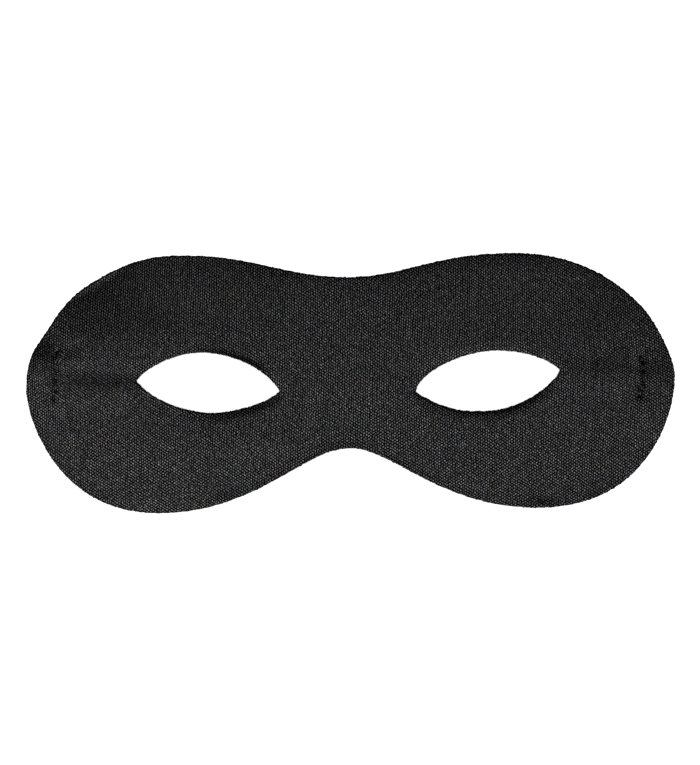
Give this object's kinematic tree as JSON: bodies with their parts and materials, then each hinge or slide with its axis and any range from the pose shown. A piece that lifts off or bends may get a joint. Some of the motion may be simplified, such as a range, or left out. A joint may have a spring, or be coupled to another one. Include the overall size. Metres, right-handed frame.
{
  "type": "domino mask",
  "caption": "Dark cloth domino mask: a rounded twin-lobed outline with pointed eye holes, low-domed over the face, and a flat elastic head strap sewn on behind.",
  "frame": {"origin": "on the surface that the mask lies on, below the middle of its outline", "axes": "+X to the right along the mask's width as its face side is looked at, +Y up towards the brow, +Z out of the face side"},
  "size_m": [0.19, 0.076, 0.0091],
  "materials": {
    "mask_cloth": "matte charcoal-black plain weave with a slight sheen",
    "strap_elastic": "matte black braided elastic"
  },
  "bodies": {
    "root": {"mask": "mask_cloth", "head_strap": "strap_elastic"}
  },
  "joints": []
}
